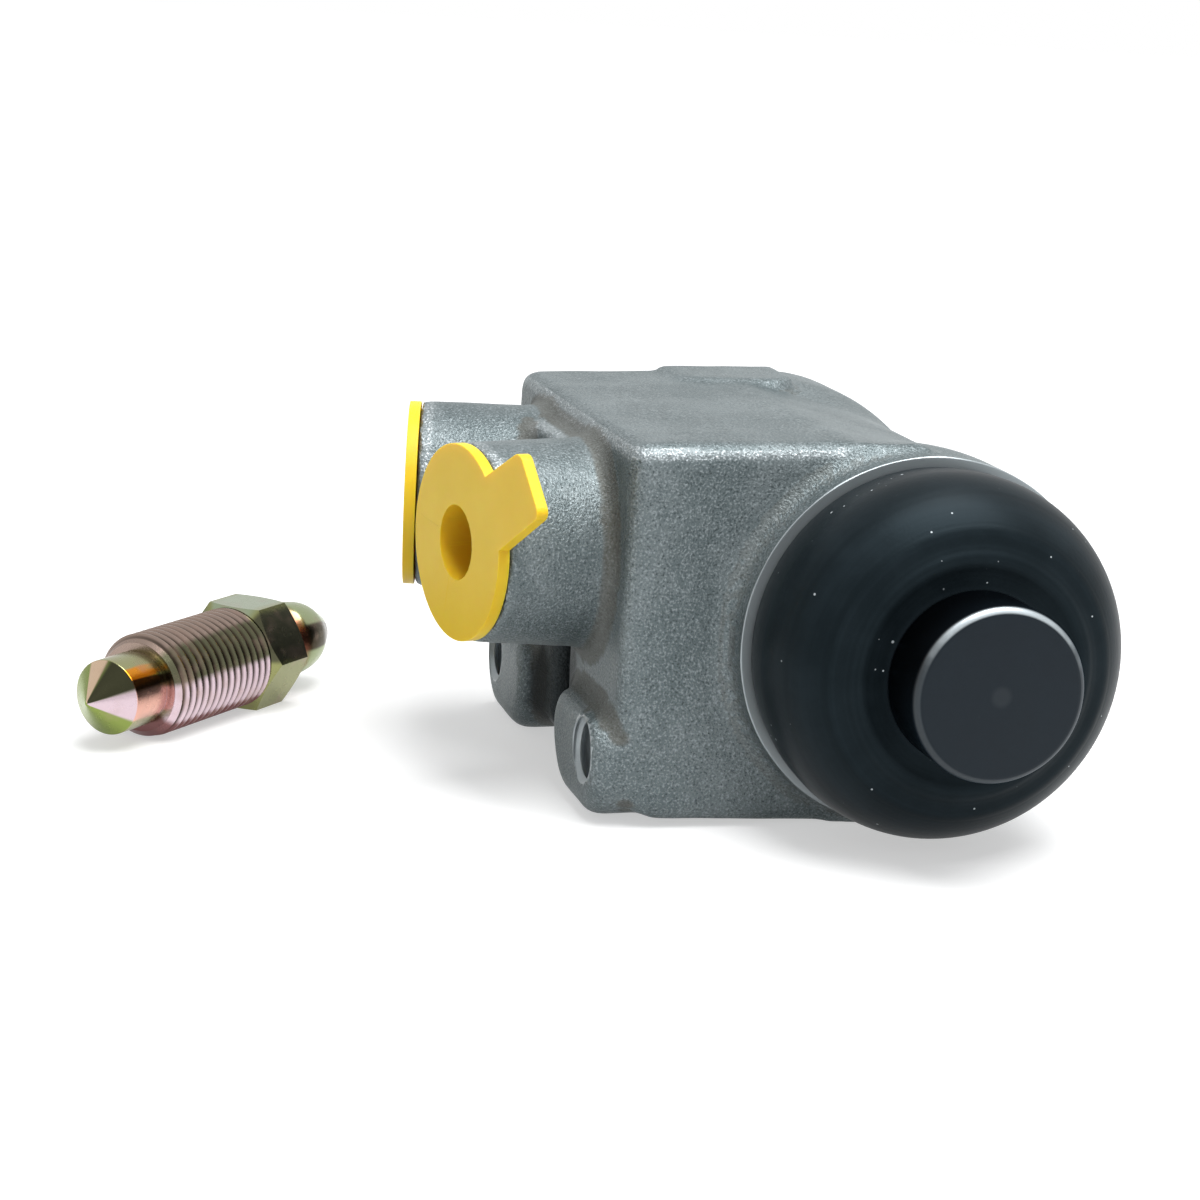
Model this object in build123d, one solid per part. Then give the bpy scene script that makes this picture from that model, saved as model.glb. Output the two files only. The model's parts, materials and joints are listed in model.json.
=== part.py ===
from build123d import *
import os
from math import acos, cos, radians, sin, sqrt, tan

# A drum-brake wheel cylinder with a piston at each end, in millimetres.
# The housing is one aluminium casting. It bolts to a backing plate by two tapped lugs, and its
# inlet and bleed ports leave on the same side, each closed by a plastic plug. The bleed screw
# is out of its port and lies beside the housing.
#
# +X leads away from the backing plate, the bore runs along Y and +Z is up. The origin is midway
# between the two tapped holes, on the face of the lugs. Pieces are drawn about the middle of the
# bore and moved there last. A "reach" is a distance from the middle of the bore.

# Bore and barrel
bore_diameter = 22.22
bore_mouth_chamfer = 0.6
shoulder_radius = 16.35
shoulder_proud = 2.7
shoulder_rim = 5.0
barrel_waist_radius = 15.25
waist_reach = 7.5
spigot_length = 5.0
spigot_wall = 2.5
boot_groove_width = 2.2
boot_groove_depth = 1.0
boot_groove_offset = 1.2

# Block beside the barrel
block_length = 42.6
block_side = 25.9
block_side_height = 16.6
block_side_depth = 16.2
block_root = 6.0
block_root_height = 16.95
block_root_depth = 16.9
top_corner_radius = 1.6
bottom_corner_radius = 4.5
block_edge_radius = 1.6
collar_cove_radius = 1.6
collar_root_overlap = 1.0
leg_gap = 5.2
leg_gap_depth = 5.5
leg_gap_top = -1.5
leg_gap_corner = 1.5
leg_gap_mouth_radius = 1.3
pad_length = 9.0
pad_width = 12.0
pad_height = 0.35
pad_corner_radius = 3.0
pad_edge_radius = 0.3

# Lugs and their tapped holes
bore_to_lug_face = 28.0
bore_above_holes = 10.7
hole_spacing = 34.5
lug_length = 15.8
lug_top_above_hole = 3.5
lug_foot_below_hole = 5.9
lug_arch_radius = 3.7
lug_foot_radius = 5.6
lug_corner_radius = 4.6
lug_edge_radius = 1.9
tap_drill_diameter = 5.0
tap_depth = 13.0
tap_mouth_diameter = 5.9

# Port bosses
port_splay = 12.9
port_offset = 2.4
port_height = 6.3
port_face_reach = 38.4
boss_end_radius = 8.65
boss_root_radius = 9.9
boss_root_drop = 1.2
port_drill_diameter = 8.92
port_thread_depth = 12.0
port_mouth_chamfer = 0.4
port_passage_diameter = 3.0
web_half_height = 5.0
web_side_back = 2.6
web_root_proud = 2.7
web_root_below_top = 0.5
web_root_edge_radius = 0.8

# Pistons
piston_clearance = 0.03
piston_inner_reach = 12.8
piston_body_length = 13.5
piston_body_chamfer = 0.4
push_face_diameter = 14.8
push_face_proud = 17.5
push_face_rounding = 0.8
lip_groove_width = 2.2
lip_groove_depth = 1.1
lip_groove_setback = 6.0

# Cup seals, spreaders and spring
cup_clearance = 0.05
cup_length = 5.4
cup_back = 2.4
cup_lip_wall = 1.5
cup_lip_edge = 0.6
cup_heel_setback = 0.35
spreader_sheet = 0.6
spreader_radius = 8.3
spreader_nose_radius = 4.0
spreader_nose_length = 1.6
spring_wire_diameter = 1.2
spring_mean_radius = 5.4
spring_turns = 4.5
seat_gap = 0.05

# Dust boots
boot_radius = 15.85
boot_wall = 1.7
boot_skirt_length = 3.9
boot_dome_radius = 8.2
boot_crest_radius = 9.9
boot_lip_wall = 1.2
boot_clearance = 0.1

# Port plugs
plug_disc_diameter = 17.1
plug_disc_thickness = 1.05
plug_stem_clearance = 0.06
plug_stem_length = 8.5
plug_hole_diameter = 6.5
plug_floor = 1.2
tab_reach = 15.6
tab_root_width = 6.8
tab_end_width = 6.1
tab_end_slant = 1.3
tab_corner_radius = 0.7
front_tab_turn = 29.5
rear_tab_turn = 3.0

# Bleed screw
screw_thread_diameter = 9.8
screw_thread_length = 14.5
screw_thread_chamfer = 0.7
screw_tip_diameter = 7.0
screw_tip_length = 4.0
screw_cone_length = 2.9
screw_neck_diameter = 6.6
screw_neck_length = 0.6
screw_hex_across_flats = 10.0
screw_hex_length = 5.4
screw_hex_chamfer = 0.5
screw_waist_diameter = 5.8
screw_waist_length = 1.9
screw_nipple_diameter = 7.4
screw_nipple_length = 7.1
screw_nipple_band = 1.3
screw_nipple_rim = 0.6
screw_nipple_dome_radius = 6.0
screw_passage_diameter = 2.4
screw_cross_hole_diameter = 1.6
screw_tip_position = (-68.4, 4.7)
screw_heading = 47.2

# The most of a wall that the roundings at its two ends take together
rounded_share = 0.98

# Sizes that follow from the ones above
bore_radius = bore_diameter / 2
spigot_radius = bore_radius + spigot_wall
block_reach = block_length / 2
shoulder_reach = block_reach + shoulder_proud
flare_reach = shoulder_reach - shoulder_rim
spigot_reach = shoulder_reach + spigot_length
push_reach = shoulder_reach + push_face_proud
push_radius = push_face_diameter / 2
lip_groove_reach = push_reach - lip_groove_setback
cup_back_reach = piston_inner_reach - cup_back
lug_centre_z = -bore_above_holes
floor_z = -max(block_root_depth, shoulder_radius)

DOWN_AXIS = (Align.CENTER, Align.CENTER, Align.MAX)
UP_AXIS = (Align.CENTER, Align.CENTER, Align.MIN)


def placed(shape):
    """Move a piece from the middle of the bore to the part's frame."""
    return Pos(bore_to_lug_face, 0, bore_above_holes) * shape


def turned(outline):
    """Revolve a closed outline of (radius, reach) edges about the bore."""
    return revolve(make_face(outline), Axis.Y)


def at_end(shape, end):
    """A piece drawn for the +Y end, or its mirror image at the -Y end."""
    return shape if end > 0 else mirror(shape, about=Plane.XZ)


def port_plane(end, reach):
    """A plane across a port's axis, z pointing out of the port and y up."""
    turn = radians(port_splay)
    out = Vector(-cos(turn), end * sin(turn), 0)
    foot = Vector(0, end * port_offset, port_height)
    return Plane(origin=foot + out * reach, x_dir=Vector(0, 0, 1).cross(out), z_dir=out)


# Housing: barrel, block, lugs, bosses and web in one casting

def barrel():
    flare = Spline(
        [(barrel_waist_radius, waist_reach), (shoulder_radius, flare_reach)],
        tangents=[(0, 1), (0, 1)],
    )
    rim = Polyline(
        (shoulder_radius, flare_reach),
        (shoulder_radius, shoulder_reach),
        (spigot_radius, shoulder_reach),
        (spigot_radius, spigot_reach),
        (0, spigot_reach),
        (0, 0),
        (barrel_waist_radius, 0),
        (barrel_waist_radius, waist_reach),
    )
    half = turned([flare, *rim.edges()])
    return half + mirror(half, about=Plane.XZ)


def block():
    """The squared body behind the barrel, with drafted top and bottom that meet the barrel."""
    flank = Polyline(
        (-block_root, block_root_height),
        (-block_side, block_side_height),
        (-block_side, -block_side_depth),
        (-block_root, -block_root_depth),
        close=True,
    )
    section = make_hull(flank.edges() + Circle(barrel_waist_radius).edges())
    solid = extrude(Plane.XZ * section, block_reach, both=True)
    side_edges = solid.edges().filter_by(Axis.Y).group_by(Axis.X)[0].sort_by(Axis.Z)
    solid = fillet(side_edges[-1:], top_corner_radius)
    low_edge = solid.edges().filter_by(Axis.Y).group_by(Axis.X)[0].sort_by(Axis.Z)[:1]
    solid = fillet(low_edge, bottom_corner_radius)
    ends = solid.faces().filter_by(Axis.Y).edges()
    return fillet(ends, block_edge_radius)


def collar_coves(stock):
    """The concave root where each round shoulder leaves the block's end face."""
    big = shoulder_radius + collar_cove_radius
    top = block_reach + collar_cove_radius
    cove = CenterArc((big, top), collar_cove_radius, 180, 90)
    base = block_reach - collar_root_overlap
    walls = Polyline((big, block_reach), (big, base), (0, base), (0, top), (shoulder_radius, top))
    ring = turned([cove, *walls.edges()])
    flank = Rectangle(block_side, block_root_height + block_root_depth, align=(Align.MAX, Align.MIN))
    mask = Pos(0, 0, -block_root_depth) * extrude(Plane.XZ * flank, top, both=True)
    for end in (-1, 1):
        stock += at_end(ring, end) & mask
    return stock


def lug(end):
    """A pad round a tapped hole, with an arched top and a rounded foot, proud of the block's side."""
    top = lug_centre_z + lug_top_above_hole
    bottom = lug_centre_z - lug_foot_below_hole
    inner = block_reach - lug_length
    root = bore_to_lug_face - block_side + bottom_corner_radius
    share = min(1, rounded_share * (top - bottom) / (lug_arch_radius + lug_foot_radius))
    arch = share * lug_arch_radius
    foot = share * lug_foot_radius
    corner = share * lug_corner_radius
    outline = FilletPolyline(
        (inner, top),
        (inner, bottom),
        (block_reach, bottom),
        (block_reach, top),
        radius=(arch, foot, corner, arch),
        close=True,
    )
    face_plane = Plane(origin=(-bore_to_lug_face, 0, 0), x_dir=(0, 1, 0), z_dir=(1, 0, 0))
    pad = extrude(face_plane * make_face(outline.edges()), root)
    pad = fillet(pad.faces().sort_by(Axis.X)[0].edges(), min(lug_edge_radius, rounded_share * arch))
    return at_end(pad, end)


def boss(end):
    """A round boss that swells and sinks a little towards its root, so its top stays level."""
    face = port_plane(end, port_face_reach) * Circle(boss_end_radius)
    root_plane = port_plane(end, block_side - boss_end_radius)
    root = root_plane * (Pos(0, -boss_root_drop) * Circle(boss_root_radius))
    return loft([root, face])


def web():
    """The wall that joins the two bosses, and the step at its root that fills the gap above it."""
    turn = radians(port_splay)
    outer = port_face_reach * cos(turn) - web_side_back
    inner = block_side - top_corner_radius
    half_width = port_offset + port_face_reach * sin(turn)
    wall = Box(outer - inner, 2 * half_width - boss_end_radius, 2 * web_half_height)
    root_outer = block_side + web_root_proud
    root_width = 2 * (port_offset + root_outer * tan(turn))
    root = Box(root_outer - inner, root_width, boss_end_radius - web_root_below_top, align=UP_AXIS)
    root_edge = root.edges().filter_by(Axis.Y).sort_by(Axis.Z)[-2:].sort_by(Axis.X)[:1]
    root = fillet(root_edge, web_root_edge_radius)
    wall = Pos(-(outer + inner) / 2, 0, port_height) * wall
    return wall + Pos(-(root_outer + inner) / 2, 0, port_height) * root


def leg_gap_cut():
    """The slot that parts the block's lower half into two legs, one behind each lug."""
    slot = Rectangle(2 * leg_gap_depth, leg_gap)
    mouth = Rectangle(leg_gap_depth, leg_gap + 4 * leg_gap_mouth_radius, align=(Align.MAX, Align.CENTER))
    outline = slot + mouth
    outline = fillet(outline.vertices().group_by(Axis.X)[-1], leg_gap_corner)
    lips = outline.vertices().group_by(Axis.X)[1].sort_by(Axis.Y)[1:3]
    outline = fillet(lips, leg_gap_mouth_radius)
    cut = extrude(outline, -(block_root_depth + leg_gap_top))
    return Pos(-block_side, 0, leg_gap_top) * cut


def raised_pad():
    outline = Rectangle(pad_width, pad_length, align=(Align.MAX, Align.MAX))
    front = outline.vertices().sort_by(Axis.Y)[:2]
    depth = pad_height + block_edge_radius
    pad = extrude(fillet(front, pad_corner_radius), depth)
    pad = fillet(pad.faces().sort_by(Axis.Z)[-1].edges(), pad_edge_radius)
    return Pos(0, block_reach - pad_height, block_root_height - block_edge_radius) * pad


def port_cut(end):
    thread = Cylinder(port_drill_diameter / 2, port_thread_depth, align=DOWN_AXIS)
    mouth = Cone(port_drill_diameter / 2 - port_mouth_chamfer, port_drill_diameter / 2 + port_mouth_chamfer,
                 2 * port_mouth_chamfer)
    passage = Cylinder(port_passage_diameter / 2, port_face_reach, align=DOWN_AXIS)
    return port_plane(end, port_face_reach) * (thread + mouth + passage)


def lug_cut(end):
    face = Plane(origin=(-bore_to_lug_face, end * hole_spacing / 2, lug_centre_z), z_dir=(-1, 0, 0))
    drill = Cylinder(tap_drill_diameter / 2, tap_depth, align=DOWN_AXIS)
    chamfer_depth = (tap_mouth_diameter - tap_drill_diameter) / 2
    mouth = Cone(tap_drill_diameter / 2, tap_mouth_diameter / 2, chamfer_depth, align=DOWN_AXIS)
    return face * (drill + mouth)


def boot_groove():
    start = shoulder_reach + boot_groove_offset
    floor = spigot_radius - boot_groove_depth
    outside = spigot_radius + boot_groove_depth
    ring = Polyline((floor, start), (outside, start), (outside, start + boot_groove_width),
                    (floor, start + boot_groove_width), close=True)
    return turned(ring.edges())


def bore_cut():
    outer = spigot_reach + bore_mouth_chamfer
    half = Polyline(
        (0, 0),
        (bore_radius, 0),
        (bore_radius, spigot_reach - bore_mouth_chamfer),
        (bore_radius + 2 * bore_mouth_chamfer, outer),
        (0, outer),
        close=True,
    )
    return turned(half.edges())


def housing():
    solid = block() + lug(-1) + lug(1)
    solid += boss(-1) + boss(1) + web()
    solid += barrel()
    solid = collar_coves(solid)
    solid += raised_pad()
    solid -= leg_gap_cut()
    for end in (-1, 1):
        solid -= at_end(bore_cut(), end)
        solid -= at_end(boot_groove(), end)
        solid -= port_cut(end)
        solid -= lug_cut(end)
    return solid


# Pistons

def piston(end):
    radius = bore_radius - piston_clearance
    body_end = piston_inner_reach + piston_body_length
    outline = Polyline(
        (0, piston_inner_reach),
        (radius - piston_body_chamfer, piston_inner_reach),
        (radius, piston_inner_reach + piston_body_chamfer),
        (radius, body_end - piston_body_chamfer),
        (radius - piston_body_chamfer, body_end),
        (push_radius, body_end),
        (push_radius, lip_groove_reach - lip_groove_width),
        (push_radius - lip_groove_depth, lip_groove_reach - lip_groove_width),
        (push_radius - lip_groove_depth, lip_groove_reach),
        (push_radius, lip_groove_reach),
        (push_radius, push_reach - push_face_rounding),
    )
    rim = CenterArc((push_radius - push_face_rounding, push_reach - push_face_rounding),
                    push_face_rounding, 0, 90)
    face = Polyline((push_radius - push_face_rounding, push_reach), (0, push_reach), (0, piston_inner_reach))
    return at_end(turned([*outline.edges(), rim, *face.edges()]), end)


# Cup seals and what spreads their lips

def cup(end):
    lip_radius = bore_radius - cup_clearance
    lip_reach = piston_inner_reach - cup_length
    outline = Polyline(
        (0, piston_inner_reach),
        (lip_radius - cup_heel_setback, piston_inner_reach),
        (lip_radius, lip_reach + cup_lip_edge),
        (lip_radius - cup_lip_edge, lip_reach),
        (lip_radius - cup_lip_wall, cup_back_reach),
        (0, cup_back_reach),
        close=True,
    )
    return at_end(turned(outline.edges()), end)


def spreader(end):
    inner = cup_back_reach - spreader_sheet
    nose = inner - spreader_nose_length
    nose_inside = spreader_nose_radius - spreader_sheet
    outline = Polyline(
        (0, nose),
        (spreader_nose_radius, nose),
        (spreader_nose_radius, inner),
        (spreader_radius, inner),
        (spreader_radius, cup_back_reach),
        (nose_inside, cup_back_reach),
        (nose_inside, nose + spreader_sheet),
        (0, nose + spreader_sheet),
        close=True,
    )
    return at_end(turned(outline.edges()), end)


def return_spring():
    half = cup_back_reach - spreader_sheet - seat_gap - spring_wire_diameter / 2
    pitch = 2 * half / spring_turns
    path = Helix(pitch, 2 * half, spring_mean_radius, center=(0, 0, -half))
    wire_plane = Plane(origin=path @ 0, z_dir=path % 0)
    coil = sweep(wire_plane * Circle(spring_wire_diameter / 2), path=path, is_frenet=True)
    return Rot(90, 0, 0) * coil


# Dust boots

def dome_arc(radius, centre, outer, inner):
    """The part of a circle about centre from one radius about the bore to a smaller one."""
    start = acos((outer - centre[0]) / radius)
    end = acos((inner - centre[0]) / radius)
    points = [
        (centre[0] + radius * cos(angle), centre[1] + radius * sin(angle))
        for angle in (start, (start + end) / 2, end)
    ]
    return ThreePointArc(*points)


def dust_boot(end):
    base = shoulder_reach + boot_clearance
    bead_start = shoulder_reach + boot_groove_offset + boot_clearance
    bead_end = bead_start + boot_groove_width - 2 * boot_clearance
    bead_radius = spigot_radius - boot_groove_depth + boot_clearance
    skirt_inner = spigot_radius + boot_clearance
    lip_front = lip_groove_reach - boot_clearance
    lip_back = lip_front - lip_groove_width + 2 * boot_clearance
    lip_inner = push_radius - lip_groove_depth + boot_clearance
    lip_outer = push_radius + boot_lip_wall
    centre = (boot_radius - boot_dome_radius, shoulder_reach + boot_skirt_length)
    outside = dome_arc(boot_dome_radius, centre, boot_radius, boot_crest_radius)
    inside = dome_arc(boot_dome_radius - boot_wall, centre, skirt_inner, lip_outer)
    fold = TangentArc(outside @ 1, (lip_outer, lip_front), tangent=outside % 1)
    skirt = Line((boot_radius, base), outside @ 0)
    lip = Polyline((lip_outer, lip_front), (lip_inner, lip_front), (lip_inner, lip_back),
                   (lip_outer, lip_back), inside @ 1)
    bead = Polyline(
        inside @ 0,
        (skirt_inner, bead_end),
        (bead_radius, bead_end),
        (bead_radius, bead_start),
        (skirt_inner, bead_start),
        (skirt_inner, base),
        (boot_radius, base),
    )
    return at_end(turned([skirt, outside, fold, *lip.edges(), inside, *bead.edges()]), end)


# Port plugs

def port_plug(end, tab_turn):
    disc = Cylinder(plug_disc_diameter / 2, plug_disc_thickness, align=UP_AXIS)
    tab_outline = Polyline(
        (0, -tab_root_width / 2),
        (tab_reach + tab_end_slant / 2, -tab_end_width / 2),
        (tab_reach - tab_end_slant / 2, tab_end_width / 2),
        (0, tab_root_width / 2),
        close=True,
    )
    tab_face = make_face(tab_outline.edges())
    tab_face = fillet(tab_face.vertices().sort_by(Axis.X)[-2:], tab_corner_radius)
    tab = extrude(tab_face, plug_disc_thickness)
    turn = tab_turn if end < 0 else 180 - tab_turn
    head = disc + Rot(0, 0, turn) * tab
    stem_radius = port_drill_diameter / 2 - plug_stem_clearance
    stem = Cylinder(stem_radius, plug_stem_length, align=DOWN_AXIS)
    well_depth = plug_stem_length - plug_floor
    well = Cylinder(plug_hole_diameter / 2, well_depth + plug_disc_thickness, align=UP_AXIS)
    plug = head + stem - Pos(0, 0, -well_depth) * well
    return port_plane(end, port_face_reach + seat_gap) * plug


# Bleed screw, lying on the same level as the underside of the housing

def bleed_screw():
    tip_end = screw_cone_length + screw_tip_length
    thread_start = tip_end + screw_neck_length
    hex_start = thread_start + screw_thread_length
    hex_end = hex_start + screw_hex_length
    waist_end = hex_end + screw_waist_length
    end = waist_end + screw_nipple_length
    band_start = waist_end + screw_nipple_band
    band_end = band_start + screw_nipple_band
    tip_radius = screw_tip_diameter / 2
    neck_radius = screw_neck_diameter / 2
    thread_radius = screw_thread_diameter / 2
    waist_radius = screw_waist_diameter / 2
    nipple_radius = screw_nipple_diameter / 2
    rim_radius = screw_passage_diameter / 2 + screw_nipple_rim
    shaft = Polyline(
        (0, 0),
        (tip_radius, screw_cone_length),
        (tip_radius, tip_end),
        (neck_radius, tip_end + tip_radius - neck_radius),
        (neck_radius, thread_start),
        (thread_radius - screw_thread_chamfer, thread_start),
        (thread_radius, thread_start + screw_thread_chamfer),
        (thread_radius, hex_start),
        (waist_radius, hex_start),
        (waist_radius, waist_end),
        (nipple_radius, band_start),
        (nipple_radius, band_end),
    )
    dome = RadiusArc((nipple_radius, band_end), (rim_radius, end), screw_nipple_dome_radius)
    close = Polyline((rim_radius, end), (0, end), (0, 0))
    body = turned([*shaft.edges(), dome, *close.edges()])
    hexagon = RegularPolygon(screw_hex_across_flats / 2, 6, major_radius=False)
    head = Pos(0, hex_start, 0) * (Rot(-90, 0, 0) * extrude(hexagon, screw_hex_length))
    corner = screw_hex_across_flats / sqrt(3)
    cap = Polyline(
        (0, hex_start),
        (corner - screw_hex_chamfer, hex_start),
        (corner, hex_start + screw_hex_chamfer),
        (corner, hex_end - screw_hex_chamfer),
        (corner - screw_hex_chamfer, hex_end),
        (0, hex_end),
        close=True,
    )
    head &= turned(cap.edges())
    cross_reach = tip_end - screw_cross_hole_diameter
    passage = Pos(0, cross_reach, 0) * (
        Rot(-90, 0, 0) * Cylinder(screw_passage_diameter / 2, end, align=UP_AXIS)
    )
    cross_hole = Pos(0, cross_reach, 0) * (
        Rot(0, -90, 0) * Cylinder(screw_cross_hole_diameter / 2, screw_thread_diameter, align=UP_AXIS)
    )
    screw = body + head - passage - cross_hole
    lying = Rot(0, 0, screw_heading - 90) * screw
    return Pos(*screw_tip_position, floor_z + screw_hex_across_flats / 2) * lying


pieces = {"housing": housing(), "return_spring": return_spring(), "bleed_screw": bleed_screw()}
for name, end in (("front", -1), ("rear", 1)):
    pieces["piston_" + name] = piston(end)
    pieces["cup_seal_" + name] = cup(end)
    pieces["cup_spreader_" + name] = spreader(end)
    pieces["dust_boot_" + name] = dust_boot(end)
pieces["inlet_port_plug"] = port_plug(-1, front_tab_turn)
pieces["bleed_port_plug"] = port_plug(1, rear_tab_turn)

os.makedirs("parts", exist_ok=True)
for name, shape in pieces.items():
    export_step(placed(shape), "parts/" + name + ".step")
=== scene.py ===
import json
from math import acos, ceil, cos, degrees, pi, radians, sin, sqrt

import bmesh
import bpy
from mathutils import Matrix, Vector, noise
from mathutils.kdtree import KDTree


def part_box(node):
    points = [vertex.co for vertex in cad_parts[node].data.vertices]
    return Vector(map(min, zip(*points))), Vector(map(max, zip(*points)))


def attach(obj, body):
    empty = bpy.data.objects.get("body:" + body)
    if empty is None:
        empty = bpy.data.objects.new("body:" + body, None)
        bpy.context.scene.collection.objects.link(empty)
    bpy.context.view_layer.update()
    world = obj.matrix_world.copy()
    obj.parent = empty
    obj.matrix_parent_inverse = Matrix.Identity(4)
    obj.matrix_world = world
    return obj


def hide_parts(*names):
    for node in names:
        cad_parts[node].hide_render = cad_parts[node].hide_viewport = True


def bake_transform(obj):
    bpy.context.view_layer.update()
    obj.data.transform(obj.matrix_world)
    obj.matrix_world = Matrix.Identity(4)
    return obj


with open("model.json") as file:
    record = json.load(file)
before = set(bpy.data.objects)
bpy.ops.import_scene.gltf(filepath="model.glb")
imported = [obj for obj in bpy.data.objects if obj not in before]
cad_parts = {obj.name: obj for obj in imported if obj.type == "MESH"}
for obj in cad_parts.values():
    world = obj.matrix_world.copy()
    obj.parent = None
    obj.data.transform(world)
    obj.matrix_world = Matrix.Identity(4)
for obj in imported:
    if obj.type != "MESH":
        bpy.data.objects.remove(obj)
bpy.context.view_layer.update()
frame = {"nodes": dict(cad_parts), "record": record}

# Housing
# One aluminium casting: a barrel with a squared block behind it, two lugs and two splayed bosses.
# The skin stays as cast, with filled roots, and the ends, ports and tapped holes are machined after.

mm = 0.001
ends = {"front": -1, "rear": 1}
mounts = {mount["name"]: Vector(mount["pos_m"]) for mount in frame["record"]["mounts"]}
bore_centre = (mounts["push_face_front"] + mounts["push_face_rear"]) / 2
bore_radius = 11.11
spigot_radius = 13.61
spigot_reach = 29.0
shoulder_reach = 24.0
shoulder_radius = 16.35
shoulder_chamfer = 0.1
mouth_chamfer = 0.6
groove_depth = 1.0
groove_start = 25.2
groove_width = 2.2
port_splay = 12.9
port_offset = 2.4
port_height = 6.3
port_face_reach = 38.4
port_thread_outer = 10.0
port_thread_inner = 8.92
port_thread_depth = 12.0
port_mouth_chamfer = 0.4
port_passage_radius = 1.5
spot_face_radius = 6.4
spot_face_depth = 0.06
lug_thread_outer = 6.0
lug_thread_inner = 5.0
lug_thread_depth = 13.0
lug_mouth_chamfer = 0.5
thread_pitch = 1.0
lug_hole_reach = 34.5 / 2
pad_level = 27.0

# Tools run on past what they cut, filled holes end just short of their face, and points closer
# than the weld are one.
overrun = 1.0
face_gap = 0.01
weld = 0.001
corner_segments = 5
spare_turns = 2


def bore_place(end):
    """The place of a piece that is drawn about Z and lies along the bore, pointing out of one end."""
    return Matrix.Translation(bore_centre) @ Matrix.Rotation(-end * pi / 2, 4, "X")


def port_place(end, reach):
    """The place of a piece that is drawn about Z on a port's axis, with its tab along the boss."""
    turn = radians(port_splay)
    out = Vector((-cos(turn), end * sin(turn), 0))
    side = Vector((0, 0, 1)).cross(out)
    foot = bore_centre + Vector((0, end * port_offset, port_height)) * mm
    turned_to_port = Matrix((side, Vector((0, 0, 1)), out)).transposed().to_4x4()
    return Matrix.Translation(foot + out * reach * mm) @ turned_to_port


def lug_place(end):
    """The place of a piece that is drawn about Z and points out of a lug's tapped hole."""
    mouth = mounts["mounting_holes"] + Vector((0, end * lug_hole_reach * mm, 0))
    return Matrix.Translation(mouth) @ Matrix.Rotation(-pi / 2, 4, "Y")


def closed(shape):
    """Merge what meets, fill what is open and turn the faces outwards."""
    bmesh.ops.remove_doubles(shape, verts=shape.verts, dist=weld * mm)
    open_edges = [edge for edge in shape.edges if edge.is_boundary]
    bmesh.ops.holes_fill(shape, edges=open_edges, sides=0)
    bmesh.ops.recalc_face_normals(shape, faces=shape.faces)
    return shape


def turned(outline, steps=96):
    """Turn (radius, height, corner rounding) points about Z. An outline off the axis is closed."""
    shape = bmesh.new()
    corners = [shape.verts.new((radius * mm, 0, height * mm)) for radius, height, _ in outline]
    for start, end in zip(corners, corners[1:]):
        shape.edges.new((start, end))
    if outline[0][0] > 0:
        shape.edges.new((corners[-1], corners[0]))
    for corner, (_, _, rounding) in zip(corners, outline):
        if rounding:
            bmesh.ops.bevel(shape, geom=[corner], offset=rounding * mm, affect="VERTICES",
                            segments=corner_segments, profile=0.5, material=-1)
    bmesh.ops.spin(shape, geom=shape.verts[:] + shape.edges[:], cent=(0, 0, 0), axis=(0, 0, 1),
                   angle=2 * pi, steps=steps, use_merge=True)
    return closed(shape)


def rod(radius, start, end):
    """A plain rod about Z between two heights."""
    return turned([(0, start, 0), (radius, start, 0), (radius, end, 0), (0, end, 0)])


def threaded(outer, inner, length, steps=40):
    """A threaded rod about Z: a zigzag of flanks is spun one turn while it climbs one pitch."""
    shape = bmesh.new()
    flank = [(inner, 0), (inner, 0.15), (outer, 0.5), (outer, 0.62)]
    start = None
    for turn in range(-spare_turns, ceil(length / thread_pitch) + spare_turns):
        for radius, share in flank:
            end = shape.verts.new((radius * mm, 0, (turn + share) * thread_pitch * mm))
            if start:
                shape.edges.new((start, end))
            start = end
    bmesh.ops.spin(shape, geom=shape.verts[:] + shape.edges[:], cent=(0, 0, 0), axis=(0, 0, 1),
                   dvec=(0, 0, thread_pitch * mm / steps), angle=2 * pi, steps=steps)
    bmesh.ops.remove_doubles(shape, verts=shape.verts, dist=weld * mm)
    for height, side in ((0, -1), (length, 1)):
        bmesh.ops.bisect_plane(shape, geom=shape.verts[:] + shape.edges[:] + shape.faces[:],
                               plane_co=(0, 0, height * mm), plane_no=(0, 0, side), clear_outer=True)
    return closed(shape)


def shape_from(mesh):
    """A shape to work on, from a finished mesh."""
    shape = bmesh.new()
    shape.from_mesh(mesh)
    return shape


def piece(name, shape, place=Matrix(), finishes=(), sharp=35):
    """Make an object of a shape at its place, shaded smooth but for its sharp edges."""
    bmesh.ops.transform(shape, matrix=place, verts=shape.verts)
    mesh = bpy.data.meshes.new(name)
    shape.to_mesh(mesh)
    shape.free()
    thing = bpy.data.objects.new(name, mesh)
    bpy.context.scene.collection.objects.link(thing)
    finish_mesh(thing, finishes, sharp)
    return thing


def finish_mesh(thing, finishes, sharp):
    """Give a mesh its materials and shade it smooth but for its sharp edges."""
    thing.data.materials.clear()
    for material in finishes:
        thing.data.materials.append(material)
    thing.data.shade_smooth()
    thing.data.set_sharp_from_angle(angle=radians(sharp))


def apply_modifiers(thing):
    """Keep what the modifiers make as the object's own mesh."""
    depsgraph = bpy.context.evaluated_depsgraph_get()
    mesh = bpy.data.meshes.new_from_object(thing.evaluated_get(depsgraph))
    thing.modifiers.clear()
    thing.data = mesh


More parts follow.
